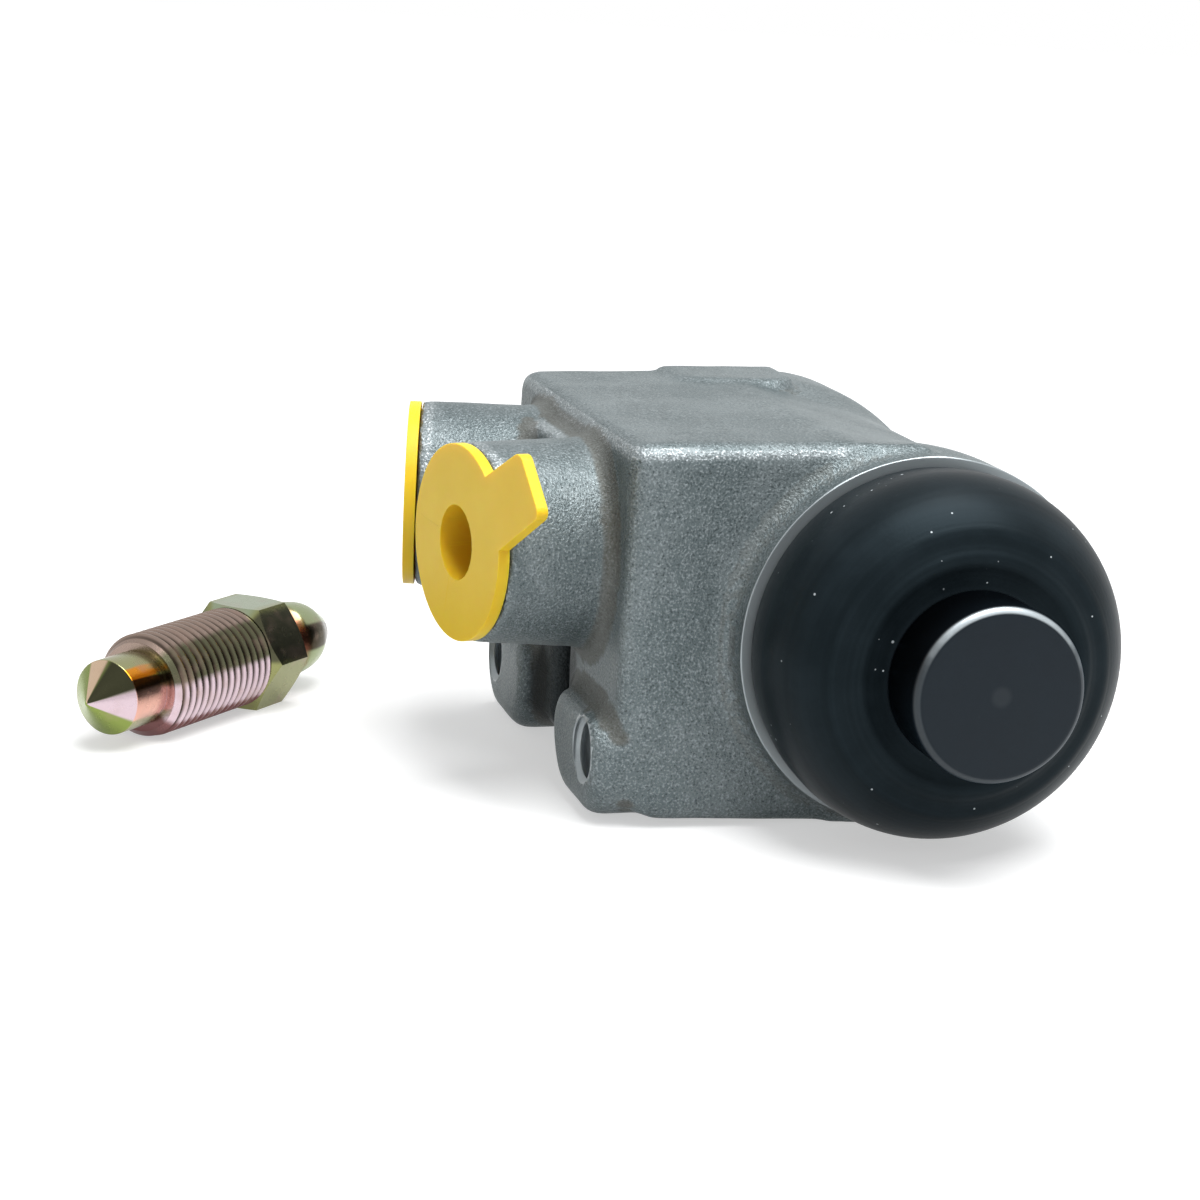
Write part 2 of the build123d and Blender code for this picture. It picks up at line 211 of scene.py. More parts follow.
def combine(thing, shape, place=Matrix(), operation="DIFFERENCE"):
    """Cut a shape from an object, add it, or keep only what both hold."""
    tool = piece("tool", shape, place)
    modifier = thing.modifiers.new("combine", "BOOLEAN")
    modifier.operation = operation
    modifier.solver = "MANIFOLD"
    modifier.object = tool
    apply_modifiers(thing)
    bpy.data.objects.remove(tool)


def joined(first, second, operation):
    """One shape out of two."""
    blank = piece("blank", first)
    combine(blank, second, operation=operation)
    shape = shape_from(blank.data)
    bpy.data.objects.remove(blank)
    return shape


# The casting comes out of its mould with no holes, and with stock on its ends.
fill_overlap = 0.5
stock_length = 1.5
housing = piece("casting", closed(shape_from(frame["nodes"]["housing"].data)))
for end in ends.values():
    bore_fill = rod(bore_radius + fill_overlap, -overrun, spigot_reach - face_gap)
    combine(housing, bore_fill, bore_place(end), "UNION")
    stock = rod(shoulder_radius, shoulder_reach - overrun, shoulder_reach + stock_length)
    combine(housing, stock, bore_place(end), "UNION")
    port_fill = rod(port_thread_inner / 2 + fill_overlap, -port_thread_depth - fill_overlap, -face_gap)
    combine(housing, port_fill, port_place(end, port_face_reach), "UNION")
    lug_fill = rod(lug_thread_outer / 2 + fill_overlap, -lug_thread_depth - fill_overlap, -face_gap)
    combine(housing, lug_fill, lug_place(end), "UNION")

# The mould filled every root with a curve, deepest behind the bosses, and the skin came out a
# little uneven.
casting_grain = 0.42
skin_rounds = 3
bend_limit = 0.3
root_rings = 3
root_rounds = 30
collar_rounds = 2
root_side = 4.0
wave_size = 3.2
wave_height = 0.05
wave_middle = 0.5
voxels = housing.modifiers.new("cast", "REMESH")
voxels.mode = "VOXEL"
voxels.voxel_size = casting_grain * mm
apply_modifiers(housing)
skin = shape_from(housing.data)


def smooth(verts, rounds):
    """Even out these points of the skin with their neighbours, a number of times."""
    for _ in range(rounds):
        bmesh.ops.smooth_vert(skin, verts=verts, factor=0.5, use_axis_x=True, use_axis_y=True,
                              use_axis_z=True)


smooth(skin.verts, skin_rounds)
bends = {vert: sum(edge.calc_face_angle_signed(0) for edge in vert.link_edges) for vert in skin.verts}
roots = {vert for vert, bend in bends.items() if bend < -bend_limit}
root_points = [vert.co.copy() for vert, bend in bends.items() if bend < -bend_limit]
edge_points = [vert.co.copy() for vert, bend in bends.items() if bend > bend_limit]
for _ in range(root_rings):
    roots |= {edge.other_vert(vert) for vert in roots for edge in vert.link_edges}
by_bosses = [vert for vert in roots if vert.co.x < root_side * mm]
smooth(list(roots), collar_rounds)
smooth(by_bosses, root_rounds - collar_rounds)
for vert in skin.verts:
    wave = noise.noise(vert.co / (wave_size * mm)) - wave_middle
    vert.co += vert.normal * wave_height * mm * wave
skin.to_mesh(housing.data)
skin.free()

spigot_turning = [
    (spigot_radius, shoulder_reach, 0),
    (shoulder_radius - shoulder_chamfer, shoulder_reach, 0),
    (shoulder_radius, shoulder_reach - shoulder_chamfer, 0),
    (shoulder_radius + 3 * overrun, shoulder_reach - shoulder_chamfer, 0),
    (shoulder_radius + 3 * overrun, spigot_reach + 2 * overrun, 0),
    (0, spigot_reach + 2 * overrun, 0),
    (0, spigot_reach, 0),
    (spigot_radius, spigot_reach, 0),
    (spigot_radius, groove_start + groove_width, 0),
    (spigot_radius - groove_depth, groove_start + groove_width, 0),
    (spigot_radius - groove_depth, groove_start, 0),
    (spigot_radius, groove_start, 0),
]
bore_turning = [
    (0, -overrun, 0),
    (bore_radius, -overrun, 0),
    (bore_radius, spigot_reach - mouth_chamfer, 0),
    (bore_radius + 2 * mouth_chamfer, spigot_reach + mouth_chamfer, 0),
    (0, spigot_reach + mouth_chamfer, 0),
]


def threaded_hole(outer, inner, depth, chamfer):
    """What a drill and a tap take out, below the mouth at height 0."""
    tapped = threaded(outer / 2, inner / 2, depth + overrun)
    bmesh.ops.translate(tapped, vec=(0, 0, -depth * mm), verts=tapped.verts)
    mouth = turned([
        (0, -chamfer, 0),
        (inner / 2, -chamfer, 0),
        (outer / 2 + 2 * chamfer, 2 * chamfer, 0),
        (0, 2 * chamfer, 0),
    ])
    return joined(tapped, mouth, "UNION")


for end in ends.values():
    combine(housing, turned(spigot_turning), bore_place(end))
    combine(housing, turned(bore_turning), bore_place(end))
    port = threaded_hole(port_thread_outer, port_thread_inner, port_thread_depth, port_mouth_chamfer)
    combine(housing, port, port_place(end, port_face_reach))
    spot_face = rod(spot_face_radius, -spot_face_depth, overrun)
    combine(housing, spot_face, port_place(end, port_face_reach))
    passage = rod(port_passage_radius, -port_face_reach, overrun - port_thread_depth)
    combine(housing, passage, port_place(end, port_face_reach))
    lug_hole = threaded_hole(lug_thread_outer, lug_thread_inner, lug_thread_depth, lug_mouth_chamfer)
    combine(housing, lug_hole, lug_place(end))

# The roots keep a brownish tarnish with painted shade, strong behind the bosses and fainter round the
# collars, and the upper edges are rubbed bright and carry a painted highlight, so each point knows how
# near a root and an edge it is.
root_width = 1.0
collar_width = 0.35
collar_share = 0.55
edge_width = 0.9
upward_highlight_gain = 2.5
side_edge_share = 0.25
rubbed_highlight_from = 10.0


def tree_of(points):
    """A tree that finds the nearest of these points."""
    tree = KDTree(len(points))
    for number, point in enumerate(points):
        tree.insert(point, number)
    tree.balance()
    return tree


def nearness(away, width):
    """1 on a line, falling to 0 at this many millimetres from it."""
    return max(0, 1 - (away / (width * mm)) ** 2)


mesh = housing.data
root_tree = tree_of(root_points)
edge_tree = tree_of(edge_points)
root_depth = mesh.attributes.new("root", "FLOAT", "POINT")
edge_highlight_depth = mesh.attributes.new("edge", "FLOAT", "POINT")
for vert in mesh.vertices:
    nearest, _, away = root_tree.find(vert.co)
    width, share = (root_width, 1.0) if nearest.x < root_side * mm else (collar_width, collar_share)
    if nearest.z < pad_level * mm:
        root_depth.data[vert.index].value = share * nearness(away, width)
    nearest, _, away = edge_tree.find(vert.co)
    # Edges that face up get more of the painted highlight as well as the rubbing.
    share = max(side_edge_share, min(1, upward_highlight_gain * vert.normal.z))
    if rubbed_highlight_from < nearest.z / mm < pad_level:
        edge_highlight_depth.data[vert.index].value = share * nearness(away, edge_width)


class Value:
    """A node's output. Sums and products on it add their Math nodes."""

    def __init__(self, tree, socket):
        self.tree = tree
        self.socket = socket

    def __add__(self, other):
        return self.tree.maths("ADD", self, other)

    def __sub__(self, other):
        return self.tree.maths("SUBTRACT", self, other)

    def __rsub__(self, other):
        return self.tree.maths("SUBTRACT", other, self)

    def __mul__(self, other):
        return self.tree.maths("MULTIPLY", self, other)

    __radd__ = __add__
    __rmul__ = __mul__


class Tree:
    """The nodes of a finish or of the studio. Each method adds a node and gives back its output."""

    def __init__(self, tree):
        self.nodes = tree.nodes
        self.links = tree.links

    def add(self, kind, settings=None, inputs=None, output=0):
        """Any node: its settings first, then the values or links of its sockets."""
        node = self.nodes.new(kind)
        for name, value in (settings or {}).items():
            setattr(node, name, value)
        for name, value in (inputs or {}).items():
            if isinstance(value, Value):
                self.links.new(value.socket, node.inputs[name])
            else:
                node.inputs[name].default_value = value
        return Value(self, node.outputs[output])

    def maths(self, operation, first, second=0.0):
        """A Math node on one or two values."""
        return self.add("ShaderNodeMath", {"operation": operation}, {0: first, 1: second})

    def ray(self, kind):
        """1 on rays of one kind, such as those from the camera."""
        return self.add("ShaderNodeLightPath", output=f"Is {kind} Ray")


class Finish(Tree):
    """A material on a Principled shader, with the values that stay the same over its surface."""

    def __init__(self, name, constants):
        self.material = bpy.data.materials.new(name)
        self.material.use_nodes = True
        super().__init__(self.material.node_tree)
        self.shader = self.nodes["Principled BSDF"]
        for socket, value in constants.items():
            self.shader.inputs[socket].default_value = value
        self.place = self.add("ShaderNodeTexCoord", output="Object")

    def link(self, socket, value):
        """Feed one of the shader's sockets."""
        self.links.new(value.socket, self.shader.inputs[socket])

    def split(self, vector):
        """The X, Y and Z of a vector."""
        first = self.add("ShaderNodeSeparateXYZ", None, {0: vector})
        return [Value(self, output) for output in first.socket.node.outputs]

    def local(self, place):
        """X, Y and Z on the piece in millimetres, as they were where it was drawn."""
        inverse = place.inverted()
        return self.split(self.add("ShaderNodeMapping", None, {
            "Vector": self.place, "Location": inverse.to_translation() / mm,
            "Rotation": inverse.to_euler(), "Scale": (1 / mm, 1 / mm, 1 / mm)}))

    def off_axis(self, x, y):
        """How far a point is from the axis."""
        return self.maths("POWER", x * x + y * y, 0.5)

    def ramp(self, value, low, high):
        """Rise smoothly from 0 at the low value to 1 at the high one."""
        return self.add("ShaderNodeMapRange", {"interpolation_type": "SMOOTHSTEP"},
                        {"Value": value, "From Min": low, "From Max": high})

    def mix(self, mask, first, second):
        """Mix two colours by a mask."""
        return self.add("ShaderNodeMix", {"data_type": "RGBA"}, {0: mask, 6: first, 7: second}, output=2)

    def noise(self, size, detail=2, roughness=0.5, seed=0, place=None):
        """Soft noise whose lumps are about this many millimetres across."""
        return self.add("ShaderNodeTexNoise", {"noise_dimensions": "4D"}, {
            "Vector": place or self.place, "W": seed, "Scale": 1 / (size * mm), "Detail": detail,
            "Roughness": roughness})

    def lines(self, across, along, detail=2, seed=0):
        """Noise that is drawn out into lines, over a plane with these two places as its axes."""
        plane = self.add("ShaderNodeCombineXYZ", None, {"X": across, "Y": along, "Z": 0.0})
        return self.noise(1, detail, seed=seed, place=plane)

    def specks(self, size, share, seed):
        """Small round specks: a share of the cells of this size hold one."""
        cells = {"Vector": self.place, "W": seed, "Scale": 1 / (size * mm)}
        near = self.add("ShaderNodeTexVoronoi", {"voronoi_dimensions": "4D"}, cells, output="Distance")
        pick = self.add("ShaderNodeTexVoronoi", {"voronoi_dimensions": "4D"}, cells, output="Color")
        chosen = self.ramp(self.split(pick)[0], 1 - share, 1 - share + 0.01)
        return chosen * (1 - self.ramp(near, 0.08, 0.16))

    def bump(self, height, depth, under=None):
        """A normal from a height between 0 and 1 that stands for this many millimetres."""
        inputs = {"Height": height, "Distance": depth * mm, "Strength": 1.0}
        if under:
            inputs["Normal"] = under
        return self.add("ShaderNodeBump", None, inputs)


def colour(red, green, blue):
    """A colour as it looks on a screen, 0 to 255, made linear for the shader."""
    return tuple(((part / 255 + 0.055) / 1.055) ** 2.4 for part in (red, green, blue)) + (1.0,)


# The cast skin is grey with bright and dark grains and small pits; the bright grains carry painted
# glints, and the recess between the lugs has painted shade.
cast_grey = colour(94, 104, 106)
cast_pale = colour(110, 119, 121)
glint_grey = colour(158, 166, 169)
grain_grey = colour(62, 69, 71)
pit_grey = colour(34, 36, 36)
rubbed_highlight_grey = colour(206, 212, 215)
tarnish_shade_brown = colour(88, 84, 76)
painted_slot_shade = colour(28, 31, 32)
slot_start = (0.1 * mm, 1.2 * mm)
slot_sides = ((5.6 * mm) ** 2, (7.2 * mm) ** 2)
slot_top = (8 * mm, 10 * mm)
cast = Finish("cast_aluminium", {
    "Metallic": 0.4, "IOR": 1.5, "Specular IOR Level": 0.25, "Specular Tint": (0.45, 0.47, 0.47, 1)})
grain = cast.noise(0.21, roughness=0.6)
mottle = cast.noise(1.6, detail=3, roughness=0.55, seed=3)
cloud = cast.noise(8, seed=7)
# Bright grains: the metal's grain with painted glints on it.
glint = cast.ramp(grain, 0.5, 0.68)
hollow = 1 - cast.ramp(grain, 0.32, 0.44)
pits = cast.specks(0.6, 0.1, seed=13)
root = cast.add("ShaderNodeAttribute", {"attribute_name": "root"}, output="Fac")
edge = cast.add("ShaderNodeAttribute", {"attribute_name": "edge"}, output="Fac")
# Rubbed edges: bare worn metal with a painted highlight on it.
rubbed_highlight = cast.ramp(edge * (0.6 + 0.8 * mottle), 0.3, 0.9)
# Root tarnish: a brownish tarnish with painted shade in the creases.
tarnish_and_shade = cast.ramp(root * (0.7 + 0.6 * cast.noise(2.4, seed=11)), 0.3, 0.9)
x, y, z = cast.split(cast.place)
# Painted shade: the recess between the lugs darkens towards black.
shade_between_lugs = cast.ramp(x, *slot_start) * (1 - cast.ramp(y * y, *slot_sides))
shade_between_lugs = shade_between_lugs * (1 - cast.ramp(z, *slot_top))
skin_colour = cast.mix(cast.ramp(cloud + 0.5 * mottle, 0.6, 0.9), cast_grey, cast_pale)
for mask, tint in (
    (0.6 * glint, glint_grey),
    (0.8 * hollow, grain_grey),
    (0.7 * pits, pit_grey),
    (rubbed_highlight * (0.15 + 0.6 * glint), rubbed_highlight_grey),
    (0.6 * tarnish_and_shade, tarnish_shade_brown),
    (0.85 * shade_between_lugs, painted_slot_shade),
):
    skin_colour = cast.mix(mask, skin_colour, tint)
cast.link("Base Color", skin_colour)
cast.link("Roughness", 0.26 + 0.16 * mottle + 0.2 * tarnish_and_shade)
lumps = cast.bump(cast.noise(0.8, seed=5), 0.06)
cast.link("Normal", cast.bump(grain - 0.7 * pits, 0.12, lumps))

# Where the tools cut, the metal is bare and shows the lines of their feed.
feed_scale = 0.011
machined_grey = colour(128, 136, 139)
machined_pale = colour(164, 171, 174)
machined = Finish("machined_aluminium", {"Metallic": 0.6, "Roughness": 0.35})
x, y, z = machined.local(bore_place(1))
feed_lines = machined.lines(machined.off_axis(x, y) * feed_scale, z * feed_scale, seed=2)
machined.link("Base Color", machined.mix(feed_lines, machined_grey, machined_pale))
machined.link("Normal", machined.bump(feed_lines, 0.01))

finish_mesh(housing, [cast.material, machined.material], 32)
bore_zone = 1.5
machined_reach = shoulder_reach - shoulder_chamfer - face_gap
to_bore = bore_place(1).inverted()
cuts = [(to_bore, bore_radius + bore_zone, -spigot_reach - overrun, spigot_reach + overrun)]
for end in ends.values():
    to_port = port_place(end, port_face_reach).inverted()
    cuts.append((to_port, spot_face_radius + 2 * face_gap, -port_thread_depth - overrun, overrun))
    to_lug = lug_place(end).inverted()
    cuts.append((to_lug, lug_thread_outer / 2 + 2 * face_gap, -lug_thread_depth - overrun, -2 * face_gap))
for face in mesh.polygons:
    centre = face.center
    bare = abs((to_bore @ centre / mm).z) > machined_reach
    for to_cut, radius, low, high in cuts:
        spot = to_cut @ centre / mm
        bare = bare or (spot.xy.length < radius and low < spot.z < high)
    face.material_index = int(bare)

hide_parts("housing")
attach(housing, "housing")

# Cup seals, their spreaders and the return spring
# They lie inside the closed bore: two moulded rubber cups, two pressed steel discs that keep the
# cups' lips spread, and a coil of steel wire between them.
seal_rubber = Finish("seal_rubber", {"Roughness": 0.5})
rubber_tint = seal_rubber.mix(seal_rubber.noise(0.8), colour(20, 21, 22), colour(34, 35, 36))
seal_rubber.link("Base Color", rubber_tint)
seal_rubber.link("Normal", seal_rubber.bump(seal_rubber.noise(0.25), 0.01))
pressed_steel = Finish("pressed_steel", {"Metallic": 1.0})
steel_tint = pressed_steel.mix(pressed_steel.noise(2), colour(140, 138, 132), colour(176, 174, 168))
pressed_steel.link("Base Color", steel_tint)
pressed_steel.link("Roughness", 0.25 + 0.2 * pressed_steel.noise(0.6))
spring_wire = Finish("spring_wire", {"Metallic": 1.0, "Roughness": 0.34})
wire_tint = spring_wire.mix(spring_wire.noise(0.7), colour(96, 97, 98), colour(140, 140, 140))
spring_wire.link("Base Color", wire_tint)
for side in ends:
    for kind, finish in (("cup_seal", seal_rubber), ("cup_spreader", pressed_steel)):
        inner_mesh = frame["nodes"][f"{kind}_{side}"].data
        inner_mesh.materials.clear()
        inner_mesh.materials.append(finish.material)

# Both ends of the spring move, so it is cut at the middle of the bore into two halves,
# one for each piston.
for side, end in ends.items():
    coil = shape_from(frame["nodes"]["return_spring"].data)
    bmesh.ops.remove_doubles(coil, verts=coil.verts, dist=weld * mm)
    bmesh.ops.bisect_plane(coil, geom=coil.verts[:] + coil.edges[:] + coil.faces[:],
                           plane_co=bore_centre, plane_no=(0, -end, 0), clear_outer=True)
    half_spring = piece("half_spring_" + side, closed(coil), finishes=[spring_wire.material])
    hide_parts("return_spring")
    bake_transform(half_spring)

# Pistons
# Turned aluminium, hard anodised blue-black. The stem's end stands out of the boot and pushes a
# brake shoe; a groove behind it holds the boot's lip.
piston_fit = 0.03
piston_inner_reach = 12.8
piston_body_length = 13.5
piston_rounding = 0.4
push_radius = 7.4
push_reach = 41.5
push_rounding = 0.8
lip_groove_start = 33.3
lip_groove_end = 35.5
lip_groove_depth = 1.1
body_end = piston_inner_reach + piston_body_length
piston_turning = [
    (0, piston_inner_reach, 0),
    (bore_radius - piston_fit, piston_inner_reach, piston_rounding),
    (bore_radius - piston_fit, body_end, piston_rounding),
    (push_radius, body_end, 0),
    (push_radius, lip_groove_start, 0),
    (push_radius - lip_groove_depth, lip_groove_start, 0),
    (push_radius - lip_groove_depth, lip_groove_end, 0),
    (push_radius, lip_groove_end, 0),
    (push_radius, push_reach, push_rounding),
    (0, push_reach, 0),
]
ring_scale = 0.008
scratch_slope = 0.6
side_black_and_shade = colour(15, 17, 20)
face_dark = colour(18, 23, 28)
face_pale = colour(22, 29, 35)
rim_highlight_grey = colour(178, 186, 190)
scratch_grey = colour(88, 92, 94)
dust_grey = colour(170, 176, 180)
for side, end in ends.items():
    anodised = Finish("anodised_" + side, {
        "IOR": 1.5, "Specular IOR Level": 0.3, "Specular Tint": (0.6, 0.68, 0.75, 1)})
    x, y, z = anodised.local(bore_place(end))
    radius = anodised.off_axis(x, y)
    height = anodised.split(anodised.place)[2] * (1 / mm)
    rings = anodised.lines(radius * ring_scale, z * ring_scale, seed=1)
    patches = anodised.noise(2.5, detail=3, roughness=0.6, seed=4)
    on_face = anodised.ramp(z, push_reach - 0.5, push_reach - 0.1)
    on_edge = anodised.ramp(radius, push_radius - 0.6, push_radius - 0.4)
    on_edge = on_edge * (1 - anodised.ramp(radius, push_radius - 0.15, push_radius))
    on_edge = on_edge * anodised.ramp(z, push_reach - 0.8, push_reach - 0.5)
    # Higher up the piston, the rim gets more of its painted highlight.
    rubbed_highlight = anodised.ramp(height + 3 * anodised.noise(1.2, seed=12), 14, 20)
    centre_mark = 1 - anodised.ramp(radius, 0.5, 1.1)
    scratch_lines = anodised.lines((x + scratch_slope * y) * 0.006, (y - scratch_slope * x) * 0.0006,
                                   detail=1, seed=14)
    scratches = anodised.ramp(scratch_lines, 0.72, 0.76)
    scratches = scratches * anodised.ramp(anodised.noise(1.6, detail=1, seed=15), 0.5, 0.6)
    dust = anodised.specks(1.1, 0.03, seed=3)
    # The side below the face is blackened anodising with painted shade: dark and fully metallic.
    dark = anodised.mix(on_face, side_black_and_shade, anodised.mix(patches, face_dark, face_pale))
    # Painted highlight on the rim, strongest on its upper part, with some rubbed wear.
    dark = anodised.mix(on_edge * (0.08 + 0.8 * rubbed_highlight), dark, rim_highlight_grey)
    dark = anodised.mix(0.12 * centre_mark + 0.1 * scratches, dark, scratch_grey)
    anodised.link("Base Color", anodised.mix(dust, dark, dust_grey))
    anodised.link("Metallic", 1 - 0.85 * on_face)
    anodised.link("Roughness", 0.34 + 0.12 * patches)
    anodised.link("Normal", anodised.bump(rings, 0.006, anodised.bump(anodised.noise(0.3), 0.006)))
    piston = piece("turned_piston_" + side, turned(piston_turning, 128), bore_place(end),
                   [anodised.material])
    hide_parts("piston_" + side)
    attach(piston, "piston_" + side)

# Dust boots
# One moulded rubber dome at each end. Its bead snaps into the spigot's groove and its lip into the
# piston's, and it stretches as the piston slides.
boot_gap = 0.1
boot_radius = 15.85
boot_wall = 1.7
boot_rounding = 0.2
skirt_taper = 0.4
skirt_bulge = 0.1
skirt_length = 2.0
dome_start = 27.9
dome_radius = 8.2
lip_radius = 8.6
knuckle_angle = 53
folds = [
    (12.3, 34.7, 0.35),
    (11.0, 35.0, 0.4),
    (10.2, 35.45, 0.35),
    (9.5, 35.5, 0.4),
    (8.6, 35.25, 0.5),
    (7.5, 35.2, 0.1),
]


def arc(centre, radius, start, end, steps):
    """Points on a round stretch of an outline, by angle in degrees."""
    angles = [radians(start + (end - start) * step / steps) for step in range(steps + 1)]
    return [(centre[0] + radius * cos(angle), centre[1] + radius * sin(angle), 0) for angle in angles]


def boot_turning():
    """Over the outside and through the folds to the lip, then down the inside and round the bead."""
    centre = (boot_radius - dome_radius, dome_start)
    inside_radius = dome_radius - boot_wall
    bead_radius = spigot_radius - groove_depth + boot_gap
    skirt_inner = spigot_radius + boot_gap
    inside_start = degrees(acos((skirt_inner - centre[0]) / inside_radius))
    inside_end = degrees(acos((lip_radius - centre[0]) / inside_radius))
    lip_inner = push_radius - lip_groove_depth + boot_gap
    outline = [
        (boot_radius - skirt_taper, shoulder_reach + boot_gap, boot_rounding),
        (boot_radius - skirt_bulge, shoulder_reach + skirt_length, 0),
    ]
    outline += arc(centre, dome_radius, 0, knuckle_angle, 24)
    outline += folds
    outline += [
        (lip_inner, folds[-1][1], boot_rounding),
        (lip_inner, lip_groove_start + boot_gap, boot_rounding),
        (lip_radius, lip_groove_start + boot_gap, 0),
    ]
    outline += arc(centre, inside_radius, inside_end, inside_start, 12)
    outline += [
        (skirt_inner, groove_start + groove_width - boot_gap, 0),
        (bead_radius, groove_start + groove_width - boot_gap, boot_rounding),
        (bead_radius, groove_start + boot_gap, boot_rounding),
        (skirt_inner, groove_start + boot_gap, 0),
        (skirt_inner, shoulder_reach + boot_gap, boot_rounding),
    ]
    return outline


rubber_black = colour(14, 20, 23)
bloom_grey = colour(25, 32, 36)
boot_dust_grey = colour(196, 204, 208)
for side, end in ends.items():
    rubber = Finish("boot_rubber_" + side, {
        "IOR": 1.5, "Specular IOR Level": 0.1, "Specular Tint": (0.6, 0.85, 1, 1)})
    x, y, z = rubber.local(bore_place(end))
    height = rubber.split(rubber.place)[2]
    bloom = rubber.noise(5, detail=3, roughness=0.6, seed=2)
    bands = rubber.lines(rubber.off_axis(x, y) * 0.0009, 0.0, seed=6)
    dusty = rubber.ramp(height, 14 * mm, 24 * mm) * rubber.ramp(rubber.noise(4, seed=21), 0.45, 0.6)
    dust = rubber.specks(0.7, 0.2 + 0.5 * dusty, seed=5) + 0.7 * rubber.specks(1.0, 0.3, seed=8)
    black = rubber.mix(rubber.ramp(0.5 * bloom + bands, 0.6, 0.95), rubber_black, bloom_grey)
    rubber.link("Base Color", rubber.mix(dust, black, boot_dust_grey))
    rubber.link("Roughness", 0.33 + 0.14 * bloom)
    fine_grain = rubber.noise(0.35, detail=3)
    rubber.link("Normal", rubber.bump(fine_grain, 0.01, rubber.bump(bands, 0.06)))
    boot = piece("moulded_boot_" + side, turned(boot_turning(), 160), bore_place(end), [rubber.material])
    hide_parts("dust_boot_" + side)
    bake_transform(boot)

# Port plugs
# Injection moulded from soft yellow plastic, they keep dirt out of the ports until the pipe and the
# screw go in. A hollow stem grips the thread, and a flat tab on the disc is pulled with two fingers.
plug_seat = 0.05
disc_radius = 8.55
disc_thickness = 1.05
stem_fit = 0.06
stem_length = 8.5
well_radius = 3.25
well_floor = 1.2
tab_reach = 15.6
tab_root_width = 6.8
tab_end_width = 6.1
tab_end_slant = 1.3
tab_corner = 0.9
edge_rounding = 0.16
inlet_tab_turn = 29.5
bleed_tab_turn = 177.0


def thickened(shape, thickness):
    """Raise a flat shape into a solid."""
    raised = bmesh.ops.extrude_face_region(shape, geom=shape.faces[:])["geom"]
    bmesh.ops.translate(shape, vec=(0, 0, thickness * mm),
                        verts=[part for part in raised if isinstance(part, bmesh.types.BMVert)])
    bmesh.ops.recalc_face_normals(shape, faces=shape.faces)
    return shape


def plug_tab():
    """The tab's outline, with two rounded corners, as thick as the disc."""
    shape = bmesh.new()
    corners = [shape.verts.new((x * mm, y * mm, 0)) for x, y in (
        (well_radius + overrun, -tab_root_width / 2),
        (tab_reach + tab_end_slant / 2, -tab_end_width / 2),
        (tab_reach - tab_end_slant / 2, tab_end_width / 2),
        (well_radius + overrun, tab_root_width / 2),
    )]
    shape.faces.new(corners)
    bmesh.ops.bevel(shape, geom=corners[1:3], offset=tab_corner * mm, affect="VERTICES",
                    segments=corner_segments, profile=0.5, material=-1)
    return thickened(shape, disc_thickness)


wax_dark = colour(228, 190, 36)
wax_pale = colour(236, 200, 52)
well_shade_amber = colour(196, 92, 2)
for name, end, turn in (
    ("inlet_port_plug", ends["front"], inlet_tab_turn),
    ("bleed_port_plug", ends["rear"], bleed_tab_turn),
):
    place = port_place(end, port_face_reach + plug_seat)
    plastic = Finish("plug_plastic_" + name, {
        "Roughness": 0.42, "IOR": 1.5, "Specular IOR Level": 0.2, "Subsurface Weight": 0.6,
        "Subsurface Scale": 1.0 * mm, "Subsurface Radius": (1.0, 0.6, 0.12)})
    x, y, z = plastic.local(place)
    waxy = plastic.mix(plastic.noise(4, seed=3), wax_dark, wax_pale)
    # Painted shade deep in the well, amber as if from light bounced off the yellow walls.
    in_well = 1 - plastic.ramp(plastic.off_axis(x, y), well_radius - 0.25, well_radius + 0.1)
    deep_well_shade = in_well * (1 - plastic.ramp(z, -1.0, 1.2))
    plastic.link("Base Color", plastic.mix(0.9 * deep_well_shade, waxy, well_shade_amber))
    plastic.link("Normal", plastic.bump(plastic.noise(0.6, seed=6), 0.01))
    plug = piece("plug_" + name, rod(disc_radius, 0, disc_thickness))
    combine(plug, plug_tab(), Matrix.Rotation(radians(turn), 4, "Z"), "UNION")
    stem = rod(port_thread_inner / 2 - stem_fit, -stem_length, disc_thickness / 2)
    combine(plug, stem, operation="UNION")
    combine(plug, rod(well_radius, well_floor - stem_length, disc_thickness + overrun))
    plug.data.transform(place)
    finish_mesh(plug, [plastic.material], 180)
    rounding = plug.modifiers.new("rounding", "BEVEL")
    rounding.width = edge_rounding * mm
    rounding.segments = 3
    rounding.limit_method = "ANGLE"
    rounding.angle_limit = radians(40)
    flat_faces = plug.modifiers.new("flat_faces", "WEIGHTED_NORMAL")
    flat_faces.weight = 100
    apply_modifiers(plug)
    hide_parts(name)
    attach(plug, name)

# Bleed screw
# Turned and rolled from hexagon steel and plated with zinc under a coloured passivation. It lies
# beside the housing on one of its flats.
screw_tip = (-40.4, 4.7)
screw_heading = 47.2
screw_flats = 10.0
screw_thread_outer = 9.8
screw_thread_inner = 8.77
point_radius = 0.25
cone_radius = 3.5
cone_end = 2.9
tip_end = 6.9
neck_radius = 3.3
thread_start = 7.5
thread_lead = 0.8
hex_start = 22.0
hex_end = 27.4
hex_corner = screw_flats / sqrt(3)
hex_chamfer = 0.9
hex_bevel = 0.6 * hex_chamfer
waist_radius = 2.9
waist_end = 29.3
nipple_radius = 3.7
nipple_neck = 3.4
nipple_mouth = 1.8
nipple_end = 36.4
screw_passage_radius = 1.2
cross_hole_radius = 0.8
cross_hole_length = 6.0
cross_hole_reach = tip_end - 2 * cross_hole_radius
core_radius = screw_thread_inner / 2 - 0.2
